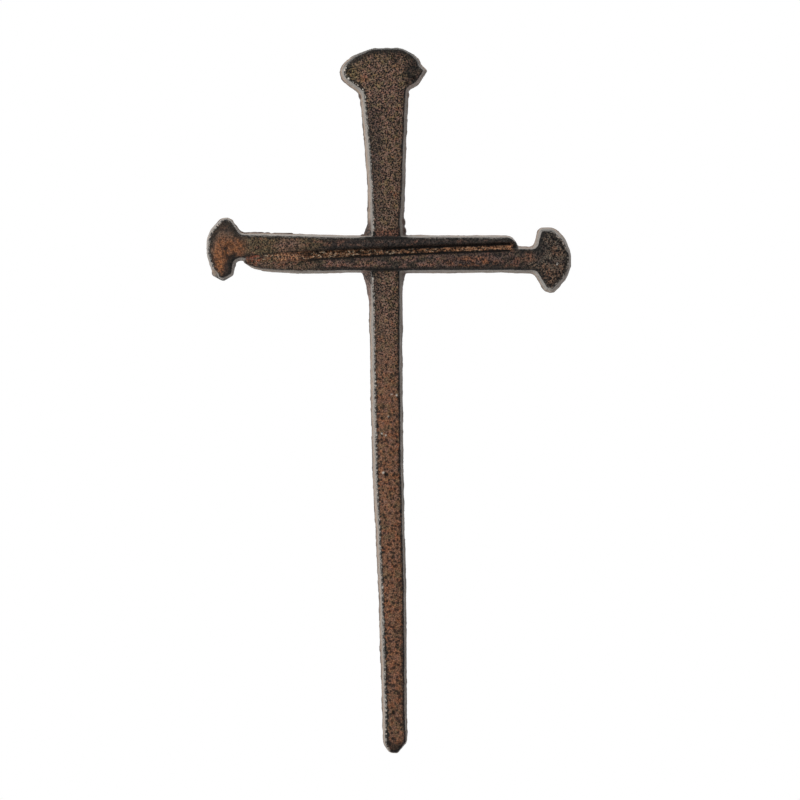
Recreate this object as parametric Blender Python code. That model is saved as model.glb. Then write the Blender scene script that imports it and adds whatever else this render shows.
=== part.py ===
"""Nail wall cross: one iron casting in the shape of three square-shank nails.

A long upright nail carries a crossbar of two nails that lie side by side, head to tail. The back is
flat, the sides are drafted so that the casting leaves the sand, and a blind pocket behind the top
head takes the hanging nail. Metres, +Z up, the front faces -Y, the origin is on the flat back at
the middle of the crossing.
"""

import math

import bmesh
import bpy
from mathutils import Matrix, Vector

MM = 0.001

# Upright nail
UPRIGHT_LENGTH = 305.0 * MM
UPRIGHT_LEAN = math.radians(0.83)
CROWN_ABOVE_CROSSING = 89.1 * MM
UPRIGHT_CROWN_X = -0.65 * MM
UPRIGHT_HEAD_THICKNESS = 10.0 * MM
UPRIGHT_TIP_THICKNESS = 7.5 * MM

# Upper crossbar nail, placed by its tip, its head at the left
UPPER_LENGTH = 135.7 * MM
UPPER_TIP_X = 58.06 * MM
UPPER_TIP_Z = 5.84 * MM
UPPER_TILT = math.radians(1.37)
UPPER_HEAD_THICKNESS = 12.0 * MM
UPPER_SHANK_THICKNESS = 11.0 * MM
UPPER_TIP_THICKNESS = 9.0 * MM

# Lower crossbar nail, placed by its tip, its head at the right
LOWER_LENGTH = 141.2 * MM
LOWER_TIP_X = -61.28 * MM
LOWER_TIP_Z = -5.17 * MM
LOWER_TILT = math.radians(0.96)
LOWER_HEAD_THICKNESS = 12.0 * MM
LOWER_SHANK_THICKNESS = 11.2 * MM
LOWER_TIP_THICKNESS = 6.0 * MM

# Where the crossbar nails start to thin towards their tips, as shares of their lengths
UPPER_TAPER_START = 0.94
LOWER_TAPER_START = 0.70

# Drafted sides, as the inset of the front edge over the nominal thickness
NOMINAL_THICKNESS = 10.0 * MM
UPRIGHT_LEFT_DRAFT = 2.1 * MM
UPRIGHT_RIGHT_DRAFT = 1.6 * MM
CROSSBAR_DRAFT = 1.1 * MM
UPPER_HEAD_DRAFT = 0.9 * MM
LOWER_HEAD_DRAFT = 1.6 * MM
CROWN_DRAFT = 0.9 * MM
TIP_DRAFT = 0.5 * MM

# Front edge and face
ARRIS = 0.7 * MM
ARRIS_STEPS = 2
FACE_RISE = 0.7 * MM
FACE_RISE_REACH = 6.0 * MM
FACE_COLUMNS = 4
ARC_STEPS = 4

# Groove between the two crossbar nails, which stops a little short of each nail's tip
GROOVE_DEPTH = 2.2 * MM
GROOVE_WEB_WIDTH = 5.0 * MM
GROOVE_TILT = math.radians(2.7)
GROOVE_ABOVE_CROSSING = 0.24 * MM
GROOVE_SHORT_OF_LOWER_TIP = 5.3 * MM
GROOVE_SHORT_OF_UPPER_TIP = 8.1 * MM

# Blind hanging pocket in the back of the top head
POCKET_WIDTH = 7.0 * MM
POCKET_HEIGHT = 15.0 * MM
POCKET_FRONT_WALL = 4.5 * MM
POCKET_TOP_BELOW_CROWN = 9.0 * MM
POCKET_SIDES = 24
CUTTER_OVERRUN = 2.0 * MM

IRON_COLOUR = (0.075, 0.045, 0.028, 1.0)
IRON_ROUGHNESS = 0.5
IRON_METALLIC = 0.35

# Outline corners are (distance from the crown, distance from the nail's axis, corner radius) in
# millimetres, from the crown to the neck, seen with the nail's head up.
UPRIGHT_HEAD_LEFT = [(0.0, 5.5, 9.0), (3.0, 13.8, 9.0), (6.6, 18.4, 9.0), (10.6, 20.1, 5.0),
                     (14.4, 18.4, 4.0), (17.6, 14.2, 6.0), (19.8, 11.2, 6.0)]
UPRIGHT_HEAD_RIGHT = [(0.0, 7.2, 9.0), (2.6, 12.3, 9.0), (5.0, 15.1, 6.0), (7.4, 15.8, 2.0),
                      (10.2, 18.6, 0.7), (16.6, 14.3, 1.5), (18.6, 10.3, 2.0)]
UPPER_HEAD_LEFT = [(0.0, 3.5, 9.0), (2.7, 12.1, 2.5), (6.8, 14.8, 3.0), (11.7, 12.2, 2.0), (12.6, 5.6, 2.5)]
UPPER_HEAD_RIGHT = [(0.0, 3.6, 9.0), (1.9, 8.1, 9.0), (7.0, 13.1, 5.0), (10.9, 13.1, 4.0), (15.5, 6.1, 2.0)]
LOWER_HEAD_LEFT = [(0.0, 3.3, 9.0), (2.2, 9.6, 9.0), (7.2, 14.6, 5.0), (14.2, 14.7, 3.0), (16.1, 6.4, 2.5)]
LOWER_HEAD_RIGHT = [(0.0, 2.6, 9.0), (1.9, 8.0, 9.0), (7.9, 14.6, 3.0), (12.2, 13.1, 3.0), (16.1, 5.5, 3.0)]

# Shank stations are (share of the stretch, left half width, right half width) in millimetres. The
# stretches run from the neck to the crossing, from the crossing to the tip, and from neck to tip.
UPRIGHT_SHANK_ABOVE = [(0.16, 10.5, 9.8), (0.44, 9.3, 8.9), (0.75, 8.3, 8.1)]
UPRIGHT_SHANK_BELOW = [(0.11, 8.3, 5.95), (0.38, 8.1, 5.7), (0.65, 6.2, 6.1), (0.92, 5.4, 5.7)]
UPPER_SHANK = [(0.05, 6.4, 6.1), (0.22, 5.2, 5.2), (0.35, 4.3, 4.3), (0.66, 4.0, 3.5), (0.96, 3.6, 2.4)]
LOWER_SHANK = [(0.03, 6.4, 5.4), (0.11, 6.9, 4.9), (0.40, 5.6, 4.6), (0.68, 4.4, 3.8),
               (0.84, 3.2, 3.8), (0.94, 3.0, 3.0)]

# Fillets of the crossing are (distance below the crossing, left and right half width at the back, left
# and right half width of the shank in front of the fillet) in millimetres, measured on the upright.
CROSSING_FILLETS = [(-13.8, 8.5, 7.4, 8.1, 7.0), (-8.4, 10.5, 8.2, 8.1, 7.0), (8.3, 11.2, 7.9, 8.7, 6.5),
                    (13.8, 9.5, 6.7, 8.7, 6.5), (20.8, 8.4, 6.35, 8.4, 6.35)]

# Tips are (distance before the nail's end, half width, corner radius) in millimetres.
UPRIGHT_TIP_LEFT = [(4.6, 5.0, 5.0), (0.2, 2.4, 4.0)]
UPRIGHT_TIP_RIGHT = [(4.9, 5.5, 2.5), (0.4, 1.3, 1.5)]
UPPER_TIP_LEFT = [(2.6, 4.4, 0.8), (1.0, 3.8, 0.8)]
UPPER_TIP_RIGHT = [(4.0, 2.3, 5.0), (1.3, -1.2, 3.0)]
LOWER_TIP_LEFT = [(3.4, 4.2, 0.8), (0.4, 4.0, 0.6)]
LOWER_TIP_RIGHT = [(4.4, 1.5, 3.0), (0.0, -1.2, 0.6)]


def clear_scene():
    for obj in list(bpy.data.objects):
        bpy.data.objects.remove(obj, do_unlink=True)


def make_collection(name):
    collection = bpy.data.collections.new(name)
    bpy.context.scene.collection.children.link(collection)
    return collection


def shank_rows(stations, start, end, side):
    """Shank stations as outline corners without a radius, on side 0 (left) or 1 (right)."""
    return [(start + share * (end - start), halves[side], 0.0) for share, *halves in stations]


def tip_rows(tip, length):
    return [(length / MM - before, half, radius) for before, half, radius in tip]


def crossing_rows(side, front):
    """The crossing's outline corners on a side, at the back (front 0) or in front of the fillets (1)."""
    crossing = CROWN_ABOVE_CROSSING / MM
    return [(crossing + below, halves[side + 2 * front], 0.0) for below, *halves in CROSSING_FILLETS]


def side_corners(rows, sign):
    """Outline corners in the nail's own plane: across, down from the crown, radius."""
    return [(Vector((sign * half * MM, -down * MM)), radius * MM) for down, half, radius in rows]


def both_sides(rows):
    return side_corners(rows[0], -1), side_corners(rows[1], 1)


def offset_loop(corners, insets):
    """Move each corner of a closed loop inwards along its mitre, by the mean inset of its edges."""
    count = len(corners)
    moved = []
    for i in range(count):
        before = corners[i - 1][0]
        here = corners[i][0]
        after = corners[(i + 1) % count][0]
        edge_in = (here - before).normalized()
        edge_out = (after - here).normalized()
        normal_in = Vector((-edge_in.y, edge_in.x))
        normal_out = Vector((-edge_out.y, edge_out.x))
        turn = edge_in.x * edge_out.y - edge_in.y * edge_out.x
        inset = (insets[i - 1] + insets[i]) / 2
        bisector = (normal_in + normal_out).normalized()
        shift = bisector * (inset / bisector.dot(normal_in))
        radius = corners[i][1]
        if radius > 0:
            radius = max(radius - inset if turn > 0 else radius + inset, 0.3 * MM)
        moved.append((here + shift, radius))
    return moved


def round_corners(corners):
    """Points of a closed loop whose corners are rounded by arcs."""
    count = len(corners)
    groups = []
    for i in range(count):
        before = corners[i - 1][0]
        here, radius = corners[i]
        after = corners[(i + 1) % count][0]
        to_before = before - here
        to_after = after - here
        if radius <= 0:
            groups.append([here])
            continue
        half_turn = (math.pi - to_before.angle(to_after)) / 2
        room = 0.48 * min(to_before.length, to_after.length)
        tangent = min(radius * math.tan(half_turn), room)
        start = here + to_before.normalized() * tangent
        end = here + to_after.normalized() * tangent
        groups.append([bezier(start, here, end, step / ARC_STEPS) for step in range(ARC_STEPS + 1)])
    return groups


def bezier(start, middle, end, share):
    """Rational quadratic arc from start to end, tangent to the lines through the middle point."""
    weight = math.cos((math.pi - (start - middle).angle(end - middle)) / 2)
    a = (1 - share) ** 2
    b = 2 * share * (1 - share) * weight
    c = share ** 2
    return (start * a + middle * b + end * c) / (a + b + c)


def smooth_taper(stops, value):
    """Thickness between the stops (distance, thickness), eased between neighbours."""
    if value <= stops[0][0]:
        return stops[0][1]
    for (start, first), (end, second) in zip(stops, stops[1:]):
        if value <= end:
            share = (value - start) / (end - start)
            return first + (second - first) * share * share * (3 - 2 * share)
    return stops[-1][1]


def ring_at(left, right, drafts, stops, level):
    """One closed ring of a nail: the outline inset by the draft, and by the arris above level 1.

    The drafts are the number of head corners on each side, the head's drafts and the shank's drafts.
    """
    head_corners, head_drafts, shank_drafts = drafts
    loop = left + right[::-1]
    count = len(loop)
    insets = []
    for i in range(count):
        middle = (loop[i][0] + loop[(i + 1) % count][0]) / 2
        thickness = smooth_taper(stops, -middle.y)
        arris = min(ARRIS, thickness / 10)
        body = (thickness - arris) / NOMINAL_THICKNESS
        on_head = i < head_corners - 1 or i >= count - head_corners
        draft = (head_drafts if on_head else shank_drafts)[0 if i < len(left) else 1]
        if i == 0 or i >= count - 2:
            draft = CROWN_DRAFT
        elif abs(i - len(left) + 1) <= 1:
            draft = TIP_DRAFT
        inset = draft * body * min(level, 1.0)
        if level > 1.0:
            inset += arris * (1 - math.cos((level - 1.0) * math.pi / 2))
        insets.append(inset)
    groups = round_corners(offset_loop(loop, insets))
    left_points = [point for group in groups[:len(left)] for point in group]
    right_points = [point for group in groups[len(left):] for point in group][::-1]
    return left_points, right_points


def across(first, last):
    """The row of points from the left side to the right side, both ends included."""
    return [first.lerp(last, step / FACE_COLUMNS) for step in range(FACE_COLUMNS + 1)]


def edge_distance(point, loop):
    best = None
    for i, start in enumerate(loop):
        end = loop[(i + 1) % len(loop)]
        edge = end - start
        share = (point - start).dot(edge) / max(edge.length_squared, 1e-12)
        gap = (point - (start + edge * min(max(share, 0.0), 1.0))).length
        best = gap if best is None else min(best, gap)
    return best


def nail_mesh(name, outlines, drafts, stops):
    """A drafted nail: rings from the flat back to the front edge, then a slightly crowned face.

    The outlines are the left and right corners at the back, and those that the front is drafted from.
    """
    back, front = [both_sides(rows) for rows in outlines]
    levels = [0.0, 1.0] + [1.0 + (step + 1) / ARRIS_STEPS for step in range(ARRIS_STEPS)]
    bm = bmesh.new()
    rings = []
    for level in levels:
        left, right = front if level > 0 else back
        left_points, right_points = ring_at(left, right, drafts, stops, level)
        tip = across(left_points[-1], right_points[-1])[1:-1]
        crown = across(right_points[0], left_points[0])[1:-1]
        loop = left_points + tip + right_points[::-1] + crown
        rings.append([bm.verts.new(front_point(point, stops, level)) for point in loop])
    for lower, upper in zip(rings, rings[1:]):
        for i, vert in enumerate(lower):
            follow = (i + 1) % len(lower)
            bm.faces.new((vert, lower[follow], upper[follow], upper[i]))
    bm.faces.new(rings[0][::-1])
    add_face_grid(bm, rings[-1], left_points, right_points, loop, stops)
    bmesh.ops.remove_doubles(bm, verts=bm.verts[:], dist=0.00001)
    bmesh.ops.recalc_face_normals(bm, faces=bm.faces[:])
    mesh = bpy.data.meshes.new(name)
    bm.to_mesh(mesh)
    bm.free()
    return mesh


def front_point(point, stops, level):
    """A ring point in three dimensions, at its height above the flat back."""
    thickness = smooth_taper(stops, -point.y)
    arris = min(ARRIS, thickness / 10)
    if level <= 1.0:
        depth = (thickness - arris) * level
    else:
        depth = thickness - arris + arris * math.sin((level - 1.0) * math.pi / 2)
    return (point.x, -depth, point.y)


def add_face_grid(bm, ring, left_points, right_points, loop, stops):
    """The front face, row by row from crown to tip, rising a little away from its edge."""
    rows = len(left_points)
    inner = FACE_COLUMNS - 1
    grid = []
    for i in range(rows):
        first = ring[i]
        last = ring[2 * rows + inner - 1 - i]
        if i == 0:
            middle = ring[2 * rows + inner:][::-1]
        elif i == rows - 1:
            middle = ring[rows:rows + inner]
        else:
            middle = []
            for point in across(left_points[i], right_points[i])[1:-1]:
                share = min(edge_distance(point, loop) / FACE_RISE_REACH, 1.0)
                rise = FACE_RISE * share * (2 - share)
                depth = smooth_taper(stops, -point.y) + rise
                middle.append(bm.verts.new((point.x, -depth, point.y)))
        grid.append([first] + middle + [last])
    for upper, lower in zip(grid, grid[1:]):
        for i in range(FACE_COLUMNS):
            bm.faces.new((upper[i], upper[i + 1], lower[i + 1], lower[i]))


def add_nail(name, collection, outlines, drafts, stops, place):
    mesh = nail_mesh(name, outlines, drafts, stops)
    mesh.transform(place)
    nail = bpy.data.objects.new(name, mesh)
    collection.objects.link(nail)
    return nail


def placed(x, z, turn):
    """Crown point in the wall plane and the turn of the nail seen from the front."""
    return Matrix.Translation((x, 0.0, z)) @ Matrix.Rotation(-turn, 4, "Y")


def placed_by_tip(x, z, turn, length):
    """The place of a nail whose tip lies at the point, so that its length moves its head."""
    return placed(x, z, turn) @ Matrix.Translation((0.0, 0.0, length))


def upright_rows(front):
    """Left and right outline corners of the upright, at the back (front 0) or in front (1)."""
    tips = (UPRIGHT_TIP_LEFT, UPRIGHT_TIP_RIGHT)
    heads = (UPRIGHT_HEAD_LEFT, UPRIGHT_HEAD_RIGHT)
    rows = []
    for side in (0, 1):
        crossing = crossing_rows(side, front)
        tip = tip_rows(tips[side], UPRIGHT_LENGTH)
        above = shank_rows(UPRIGHT_SHANK_ABOVE, heads[side][-1][0], crossing[0][0], side)
        below = shank_rows(UPRIGHT_SHANK_BELOW, crossing[-1][0], tip[0][0], side)
        rows.append(heads[side] + above + crossing + below + tip)
    return rows


def upright_nail(collection):
    outlines = (upright_rows(0), upright_rows(1))
    stops = [(0.0, UPRIGHT_HEAD_THICKNESS), (UPRIGHT_LENGTH, UPRIGHT_TIP_THICKNESS)]
    sides = (UPRIGHT_LEFT_DRAFT, UPRIGHT_RIGHT_DRAFT)
    drafts = (len(UPRIGHT_HEAD_LEFT), sides, sides)
    place = placed(UPRIGHT_CROWN_X, CROWN_ABOVE_CROSSING, UPRIGHT_LEAN)
    return add_nail("nail_cross", collection, outlines, drafts, stops, place)


def crossbar_rows(heads, shank, tips, length):
    """Left and right outline corners of a nail without a crossing of its own."""
    rows = []
    for side in (0, 1):
        tip = tip_rows(tips[side], length)
        rows.append(heads[side] + shank_rows(shank, heads[side][-1][0], tip[0][0], side) + tip)
    return rows


def upper_nail(collection):
    tips = (UPPER_TIP_LEFT, UPPER_TIP_RIGHT)
    heads = (UPPER_HEAD_LEFT, UPPER_HEAD_RIGHT)
    rows = crossbar_rows(heads, UPPER_SHANK, tips, UPPER_LENGTH)
    stops = [(0.0, UPPER_HEAD_THICKNESS), (UPPER_TAPER_START * UPPER_LENGTH, UPPER_SHANK_THICKNESS),
             (UPPER_LENGTH, UPPER_TIP_THICKNESS)]
    drafts = (len(UPPER_HEAD_LEFT), (UPPER_HEAD_DRAFT,) * 2, (CROSSBAR_DRAFT,) * 2)
    place = placed_by_tip(UPPER_TIP_X, UPPER_TIP_Z, math.pi / 2 + UPPER_TILT, UPPER_LENGTH)
    return add_nail("upper_nail", collection, (rows, rows), drafts, stops, place)


def lower_nail(collection):
    tips = (LOWER_TIP_LEFT, LOWER_TIP_RIGHT)
    heads = (LOWER_HEAD_LEFT, LOWER_HEAD_RIGHT)
    rows = crossbar_rows(heads, LOWER_SHANK, tips, LOWER_LENGTH)
    stops = [(0.0, LOWER_HEAD_THICKNESS), (LOWER_TAPER_START * LOWER_LENGTH, LOWER_SHANK_THICKNESS),
             (LOWER_LENGTH, LOWER_TIP_THICKNESS)]
    drafts = (len(LOWER_HEAD_LEFT), (LOWER_HEAD_DRAFT,) * 2, (CROSSBAR_DRAFT,) * 2)
    place = placed_by_tip(LOWER_TIP_X, LOWER_TIP_Z, -math.pi / 2 + LOWER_TILT, LOWER_LENGTH)
    return add_nail("lower_nail", collection, (rows, rows), drafts, stops, place)


def groove_web(collection):
    """The bottom of the groove: a bar between the two crossbar nails, lower than their faces."""
    bm = bmesh.new()
    bmesh.ops.create_cube(bm, size=1.0)
    depth = LOWER_SHANK_THICKNESS - GROOVE_DEPTH
    left = LOWER_TIP_X + GROOVE_SHORT_OF_LOWER_TIP
    right = UPPER_TIP_X - GROOVE_SHORT_OF_UPPER_TIP
    middle = (left + right) / 2
    run = (right - left) / math.cos(GROOVE_TILT)
    height = GROOVE_ABOVE_CROSSING + middle * math.tan(GROOVE_TILT)
    scale = Matrix.Diagonal((run, depth, GROOVE_WEB_WIDTH, 1.0))
    turn = Matrix.Rotation(-GROOVE_TILT, 4, "Y")
    bm.transform(Matrix.Translation((middle, -depth / 2, height)) @ turn @ scale)
    mesh = bpy.data.meshes.new("groove_web")
    bm.to_mesh(mesh)
    bm.free()
    web = bpy.data.objects.new("groove_web", mesh)
    collection.objects.link(web)
    return web


def hanging_pocket(collection):
    """A blind slot with round ends, open at the back, for the head of the hanging nail."""
    bm = bmesh.new()
    half_run = (POCKET_HEIGHT - POCKET_WIDTH) / 2
    half_turn_steps = POCKET_SIDES // 2
    depth = UPRIGHT_HEAD_THICKNESS - POCKET_FRONT_WALL
    outline = []
    for centre, start in ((half_run, 0.0), (-half_run, math.pi)):
        for step in range(half_turn_steps + 1):
            angle = start + math.pi * step / half_turn_steps
            outline.append((POCKET_WIDTH / 2 * math.cos(angle), centre + POCKET_WIDTH / 2 * math.sin(angle)))
    face = bm.faces.new([bm.verts.new((x, -depth, z)) for x, z in outline])
    grown = bmesh.ops.extrude_face_region(bm, geom=[face])
    moved = [item for item in grown["geom"] if isinstance(item, bmesh.types.BMVert)]
    bmesh.ops.translate(bm, verts=moved, vec=(0.0, depth + CUTTER_OVERRUN, 0.0))
    bmesh.ops.recalc_face_normals(bm, faces=bm.faces[:])
    mesh = bpy.data.meshes.new("hanging_pocket")
    bm.to_mesh(mesh)
    bm.free()
    below_crown = POCKET_TOP_BELOW_CROWN + POCKET_HEIGHT / 2
    place = placed(UPRIGHT_CROWN_X, CROWN_ABOVE_CROSSING, UPRIGHT_LEAN)
    mesh.transform(place @ Matrix.Translation((0.0, 0.0, -below_crown)))
    pocket = bpy.data.objects.new("hanging_pocket", mesh)
    collection.objects.link(pocket)
    return pocket


def combine(target, other, operation):
    modifier = target.modifiers.new(f"{operation.lower()}_{other.name}", "BOOLEAN")
    modifier.operation = operation
    modifier.solver = "EXACT"
    modifier.object = other
    other.hide_render = True
    other.display_type = "WIRE"


def iron():
    material = bpy.data.materials.new("rubbed_cast_iron")
    material.use_nodes = True
    shader = material.node_tree.nodes["Principled BSDF"]
    shader.inputs["Base Color"].default_value = IRON_COLOUR
    shader.inputs["Roughness"].default_value = IRON_ROUGHNESS
    shader.inputs["Metallic"].default_value = IRON_METALLIC
    return material


def build():
    clear_scene()
    parts = make_collection("nail_wall_cross")
    cutters = make_collection("shaping_solids")
    cross = upright_nail(parts)
    combine(cross, upper_nail(cutters), "UNION")
    combine(cross, lower_nail(cutters), "UNION")
    combine(cross, groove_web(cutters), "UNION")
    combine(cross, hanging_pocket(cutters), "DIFFERENCE")
    cross.data.materials.append(iron())


build()
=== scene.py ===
"""Looks of the nail wall cross: a pebbled, rubbed iron casting with pale drafted sides, their paleness partly
a painted reflection of the white surroundings. Metres, +Z up.

Places on the casting are in millimetres in the wall plane, from the middle of the crossing.
"""
import math

import bpy
import numpy as np
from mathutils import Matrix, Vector
from mathutils.bvhtree import BVHTree
from mathutils.kdtree import KDTree


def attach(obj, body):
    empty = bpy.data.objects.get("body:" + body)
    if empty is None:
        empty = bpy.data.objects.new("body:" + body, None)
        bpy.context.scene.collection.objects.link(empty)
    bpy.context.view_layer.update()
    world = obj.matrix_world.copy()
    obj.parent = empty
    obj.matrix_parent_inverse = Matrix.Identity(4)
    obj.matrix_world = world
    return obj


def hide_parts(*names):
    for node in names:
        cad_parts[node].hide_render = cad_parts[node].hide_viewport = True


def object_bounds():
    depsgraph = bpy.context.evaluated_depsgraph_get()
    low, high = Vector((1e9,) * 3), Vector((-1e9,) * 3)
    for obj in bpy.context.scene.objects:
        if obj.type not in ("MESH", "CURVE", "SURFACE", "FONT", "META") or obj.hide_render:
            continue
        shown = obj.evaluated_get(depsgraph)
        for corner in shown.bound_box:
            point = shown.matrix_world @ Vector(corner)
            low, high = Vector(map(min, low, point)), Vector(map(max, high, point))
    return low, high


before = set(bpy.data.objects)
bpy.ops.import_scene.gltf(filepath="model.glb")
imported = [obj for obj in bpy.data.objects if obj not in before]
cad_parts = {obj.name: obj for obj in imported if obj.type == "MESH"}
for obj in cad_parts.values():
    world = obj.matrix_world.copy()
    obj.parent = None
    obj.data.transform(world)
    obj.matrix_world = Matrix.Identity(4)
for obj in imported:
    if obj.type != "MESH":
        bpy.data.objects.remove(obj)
CAD_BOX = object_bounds()

MM = 0.001
NODE = "nail_cross"

# Fine mesh
VOXEL = 0.38 * MM
SMOOTH_STEPS = 4
SMOOTH_SHARE = 0.5
NORMAL_STEPS = 6
TIP_SMOOTH_STEPS = 60
TIP_SMOOTH_SHARE = 0.6
TRIANGLE_LIMIT = 192000

# Picture
FRAME_PIXELS = 800
PIXELS_PER_METRE = 2315.0
CROSSING_PIXEL = (386.0, 254.0)
CAMERA_DISTANCE = 4.0
SENSOR = 36.0

# Soft light all round: the side it is brightest on, its levels, and where the plain white behind begins
SKY_BRIGHT_SIDE = (-0.75, -0.2, 0.55)
SKY_REACH = 0.9
SKY_LEVELS = (0.2, 0.95)
WHITE_BEHIND = (0.5, 0.9)

# Key light and floor
KEY_PLACE = (-0.7, -0.9, 0.8)
KEY_TARGET = (0, 0, -0.06)
KEY_SIZE = 0.8
KEY_WATTS = 4.0
FLOOR_RADIUS = 2.5
FLOOR_HEIGHT = -1.1
FLOOR_COLOUR = (0.92, 0.92, 0.91, 1.0)
FLOOR_ROUGHNESS = 0.9

# How squarely a normal points to the front, from -1 to 1: above this it is front, up to this a side, and
# below this the back; what lies between a side and the front is an arris
FRONT_FROM = 0.955
SIDE_TO = 0.32
BACK_TO = -0.5

# Cells of the pits in the mesh, on the lower shaft and elsewhere
LOWER_PIT_CELL = 1.55
UPPER_PIT_CELL = 1.25

# The material's grain, fine dots, larger pits and flecks of tint, how dark a hollow is, and the bump
GRAIN_LUMP = 0.50 * MM
DOT_CELL = 0.80 * MM
PIT_CELL = 1.55 * MM
FLECK_LUMP = 0.8 * MM
HOLLOW_SHADE = 0.03
BUMP_HEIGHT = 0.10 * MM
BUMP_STRENGTH = 0.7

# The groove between the crossbar nails: its ends, its middle line (height, slope and bow), the face it is cut
# into, and its profile (above the middle line, out of that face)
GROOVE_ENDS = (-50.0, 55.5)
GROOVE_MIDDLE = 0.25
GROOVE_SLOPE = 0.0455
GROOVE_BOW = 0.35
GROOVE_FACE = 11.4
GROOVE_PROFILE = [(2.5, 0.0), (1.9, -1.3), (1.2, -2.3), (0.6, -2.1), (-0.7, -0.9), (-1.15, -1.35),
                  (-1.8, 0.0)]

# Lower outline of the lower nail's tip: places across, and heights there
LOWER_TIP_OUTLINE = ((-61.0, -56.6, -48.0, -22.0), (-3.4, -6.0, -7.8, -8.6))

# Small round pits (across, up, radius, depth)
PITS = [(71.1, 0.9, 0.55, 0.45), (72.8, 0.9, 0.5, 0.4), (75.2, 0.6, 0.5, 0.45), (72.4, -1.6, 0.5, 0.45),
        (74.7, -0.7, 0.45, 0.4), (72.8, 6.0, 0.5, 0.4), (72.1, 5.0, 0.45, 0.4), (73.3, 3.5, 0.5, 0.4),
        (70.2, -3.4, 0.5, 0.4), (68.8, -6.3, 0.5, 0.35), (72.0, -8.8, 0.55, 0.4),
        (3.6, 84.9, 0.9, 0.6), (5.4, 84.4, 0.7, 0.5), (4.2, 82.9, 1.0, 0.5),
        (12.4, 75.6, 0.8, 0.8), (9.1, 73.4, 0.7, 0.7), (0.2, -95.2, 0.9, 0.8),
        (1.4, -70.4, 0.5, 0.5), (3.4, -198.1, 0.8, 0.7)]

# Bare specks, painted bright as glints (across, up, radius)
BARE_GLINT_SPECKS = [(-1.1, -94.4, 0.75), (-1.8, -77.5, 0.6), (-0.3, -78.3, 0.5), (1.0, -70.2, 0.5), (2.4, -60.7, 0.5),
          (4.6, -61.0, 0.65), (73.7, -4.6, 0.6)]

# Knobs and burrs of moulding flash (across, up, radius, height)
KNOBS = [(-64.4, -5.2, 0.7, 0.6), (8.5, 13.9, 1.2, 0.7), (8.3, 10.2, 1.0, 0.5), (-8.3, 9.5, 1.3, 0.6),
         (-9.6, 8.0, 1.0, 0.5), (-11.6, 67.8, 0.8, 0.4), (9.9, 68.5, 0.8, 0.4), (-57.0, 8.8, 1.5, 0.5),
         (-45.0, 9.0, 2.0, 0.4), (-75.5, -9.0, 1.0, 0.4)]

# The rubbed lower left edge of the top head, black with painted glints (across, up)
HEAD_LOW_LEFT = (-13.5, 74.5)

# Large odd numbers that mix a cell's place and the seed into one number
MIXERS = (374761393, 668265263, 2147483647, 1274126177)


def smoothstep(low, high, value):
    share = np.clip((value - low) / (high - low), 0.0, 1.0)
    return share * share * (3 - 2 * share)


def blend(first, second, share):
    """Mix two colours, or lists of colours, by a share for each point."""
    share = np.clip(share, 0.0, 1.0)[:, None]
    return first * (1 - share) + second * share


def seen(red, green, blue):
    """A colour given as it looks, each part from 0 to 255."""
    value = np.array([red, green, blue]) / 255.0
    return np.where(value <= 0.04045, value / 12.92, ((value + 0.055) / 1.055) ** 2.4)


def lattice(cell, seed):
    """A fixed random number from 0 to 1 for each whole-number cell."""
    mixed = cell[:, 0] * MIXERS[0] + cell[:, 1] * MIXERS[1] + cell[:, 2] * MIXERS[2] + seed * MIXERS[3]
    mixed = mixed & 0xFFFFFFFF
    mixed = ((mixed ^ (mixed >> 13)) * MIXERS[3]) & 0xFFFFFFFF
    mixed = mixed ^ (mixed >> 16)
    return (mixed & 0xFFFFFF) / float(0x1000000)


def value_noise(points, size, seed):
    """Smooth noise from -1 to 1 with lumps of about that size."""
    scaled = points / size
    base = np.floor(scaled).astype(np.int64)
    part = scaled - base
    ease = part ** 3 * (part * (part * 6 - 15) + 10)
    total = np.zeros(len(points))
    for i in (0, 1):
        for j in (0, 1):
            for k in (0, 1):
                weight = (np.abs(1 - i - ease[:, 0]) * np.abs(1 - j - ease[:, 1])
                          * np.abs(1 - k - ease[:, 2]))
                total += weight * lattice(base + np.array([i, j, k]), seed)
    return total * 2 - 1


def fractal(points, size, seed, layers=3):
    """Noise from -1 to 1 in layers, each half the size and strength of the last; each use has a seed."""
    total = np.zeros(len(points))
    reach = 0.0
    for layer in range(layers):
        strength = 0.5 ** layer
        total += strength * value_noise(points, size * 0.5 ** layer, seed + layer * 17)
        reach += strength
    return total / reach


def cells(points, size, seed):
    """Distance to the nearest of the points scattered one to a cell, in cells, and that cell's number."""
    scaled = points / size
    base = np.floor(scaled).astype(np.int64)
    nearest = np.full(len(points), 9.0)
    number = np.zeros(len(points))
    for i in (-1, 0, 1):
        for j in (-1, 0, 1):
            for k in (-1, 0, 1):
                cell = base + np.array([i, j, k])
                offset = np.stack([lattice(cell, seed + axis) for axis in (0, 1, 2)], axis=1)
                gap = np.linalg.norm(cell + offset - scaled, axis=1)
                closer = gap < nearest
                number = np.where(closer, lattice(cell, seed + 5), number)
                nearest = np.where(closer, gap, nearest)
    return nearest, number


def read_mesh(mesh):
    """The mesh's points, and the two points of each of its edges."""
    points = np.empty(len(mesh.vertices) * 3)
    mesh.vertices.foreach_get("co", points)
    edges = np.empty(len(mesh.edges) * 2, dtype=np.int64)
    mesh.edges.foreach_get("vertices", edges)
    return points.reshape(-1, 3), edges.reshape(-1, 2)


def write_points(mesh, points):
    mesh.vertices.foreach_set("co", points.ravel())
    mesh.update()


def inside_box(points):
    """The points, with none of them outside the solid's own box."""
    return np.clip(points, np.array(CAD_BOX[0]), np.array(CAD_BOX[1]))


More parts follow.
